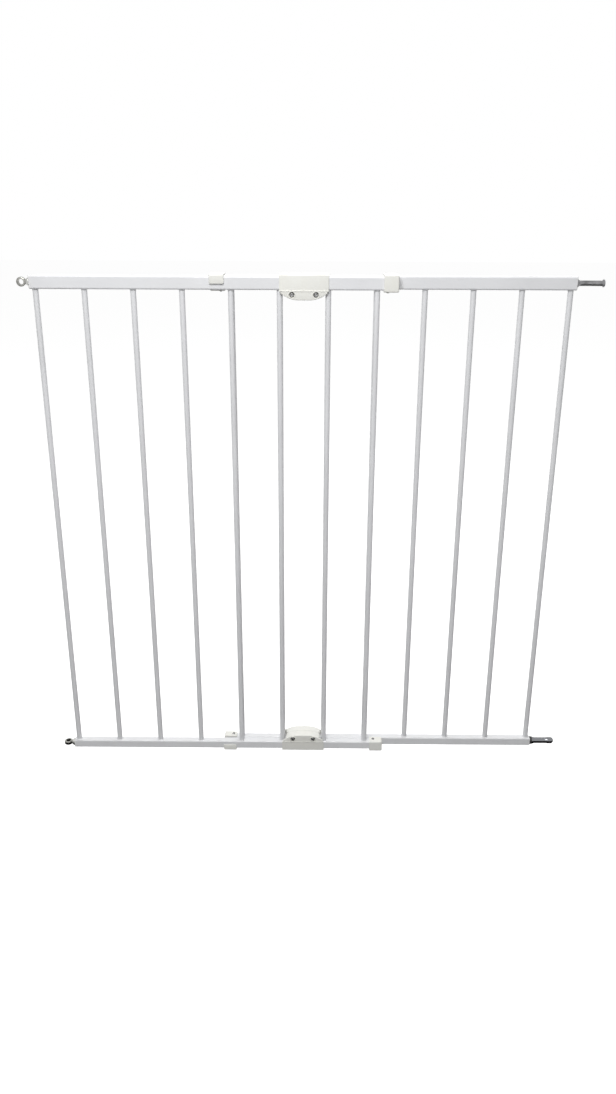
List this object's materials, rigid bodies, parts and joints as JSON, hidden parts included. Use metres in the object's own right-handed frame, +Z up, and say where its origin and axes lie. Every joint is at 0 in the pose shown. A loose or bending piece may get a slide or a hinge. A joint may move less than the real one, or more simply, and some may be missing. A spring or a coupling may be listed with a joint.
{
  "type": "child safety gate",
  "caption": "Hardware-mounted child safety gate: two overlapping panels of round bars between box rails, held by bolted centre clamps, with hinge eyes and latch pins.",
  "frame": {"origin": "centre of the bore of the lower hinge eye", "axes": "+X from the hinge side to the latch side, +Y towards the back panel, +Z up"},
  "size_m": [0.9801, 0.0378, 0.9139],
  "materials": {
    "powder_coat": "semi-gloss white powder coat",
    "cap_plastic": "satin white plastic",
    "cream_plastic": "satin warm white plastic",
    "plated_steel": "zinc-plated steel",
    "chrome_screw": "bright plated screw",
    "zinc": "bright zinc plate",
    "dull_zinc": "dull zinc plate",
    "chrome": "polished chrome plate",
    "black_plastic": "black plastic"
  },
  "bodies": {
    "hinge_panel": {"front_bar_1": "powder_coat", "front_bar_2": "powder_coat", "front_bar_3": "powder_coat", "front_bar_4": "powder_coat", "front_bar_5": "powder_coat", "front_bar_6": "powder_coat", "front_bar_7": "powder_coat", "front_bar_8": "powder_coat", "front_bottom_guide": "cream_plastic", "front_bottom_guide_screw": "chrome_screw", "front_bottom_rail": "powder_coat", "front_top_guide": "cream_plastic", "front_top_guide_screw": "chrome_screw", "front_top_rail": "powder_coat", "lower_clamp_front": "cream_plastic", "lower_clamp_nut_strip": "plated_steel", "lower_clamp_screw_1": "chrome_screw", "lower_clamp_screw_2": "chrome_screw", "lower_hinge_cap": "cap_plastic", "lower_hinge_insert": "plated_steel", "lower_hinge_nut": "zinc", "upper_clamp_front": "cream_plastic", "upper_clamp_nut_strip": "plated_steel", "upper_clamp_screw_1": "chrome_screw", "upper_clamp_screw_2": "chrome_screw", "upper_hinge_cap": "cap_plastic", "upper_hinge_insert": "plated_steel", "upper_hinge_nut": "zinc"},
    "latch_panel": {"back_bar_1": "powder_coat", "back_bar_2": "powder_coat", "back_bar_3": "powder_coat", "back_bar_4": "powder_coat", "back_bar_5": "powder_coat", "back_bar_6": "powder_coat", "back_bar_7": "powder_coat", "back_bar_8": "powder_coat", "back_bottom_guide": "cream_plastic", "back_bottom_guide_screw": "chrome_screw", "back_bottom_rail": "powder_coat", "back_top_guide": "cream_plastic", "back_top_guide_screw": "chrome_screw", "back_top_rail": "powder_coat", "lower_clamp_rear": "cream_plastic", "lower_latch_cap": "cap_plastic", "lower_latch_collar": "black_plastic", "lower_latch_insert": "plated_steel", "upper_clamp_rear": "cream_plastic", "upper_latch_cap": "cap_plastic", "upper_latch_insert": "plated_steel"},
    "upper_eye": {"upper_hinge_eye": "zinc"},
    "lower_eye": {"lower_hinge_eye": "zinc"},
    "upper_pin": {"upper_latch_pin": "dull_zinc"},
    "lower_pin": {"lower_latch_pin": "chrome"}
  },
  "joints": [
    {"name": "width_slide", "type": "slide", "parent": "hinge_panel", "child": "latch_panel", "axis": [1, 0, 0], "range_m": [-0.3248, 0.0812]},
    {"name": "upper_eye_turn", "type": "hinge", "parent": "hinge_panel", "child": "upper_eye", "pos_m": [0.02, 0, 0.8892], "axis": [1, 0, 0], "continuous": true},
    {"name": "lower_eye_turn", "type": "hinge", "parent": "hinge_panel", "child": "lower_eye", "pos_m": [0.02, 0, 0], "axis": [1, 0, 0], "continuous": true},
    {"name": "upper_pin_turn", "type": "hinge", "parent": "latch_panel", "child": "upper_pin", "pos_m": [0.92, 0.0163, 0.8892], "axis": [1, 0, 0], "continuous": true},
    {"name": "lower_pin_turn", "type": "hinge", "parent": "latch_panel", "child": "lower_pin", "pos_m": [0.92, 0.0163, 0], "axis": [1, 0, 0], "continuous": true}
  ]
}
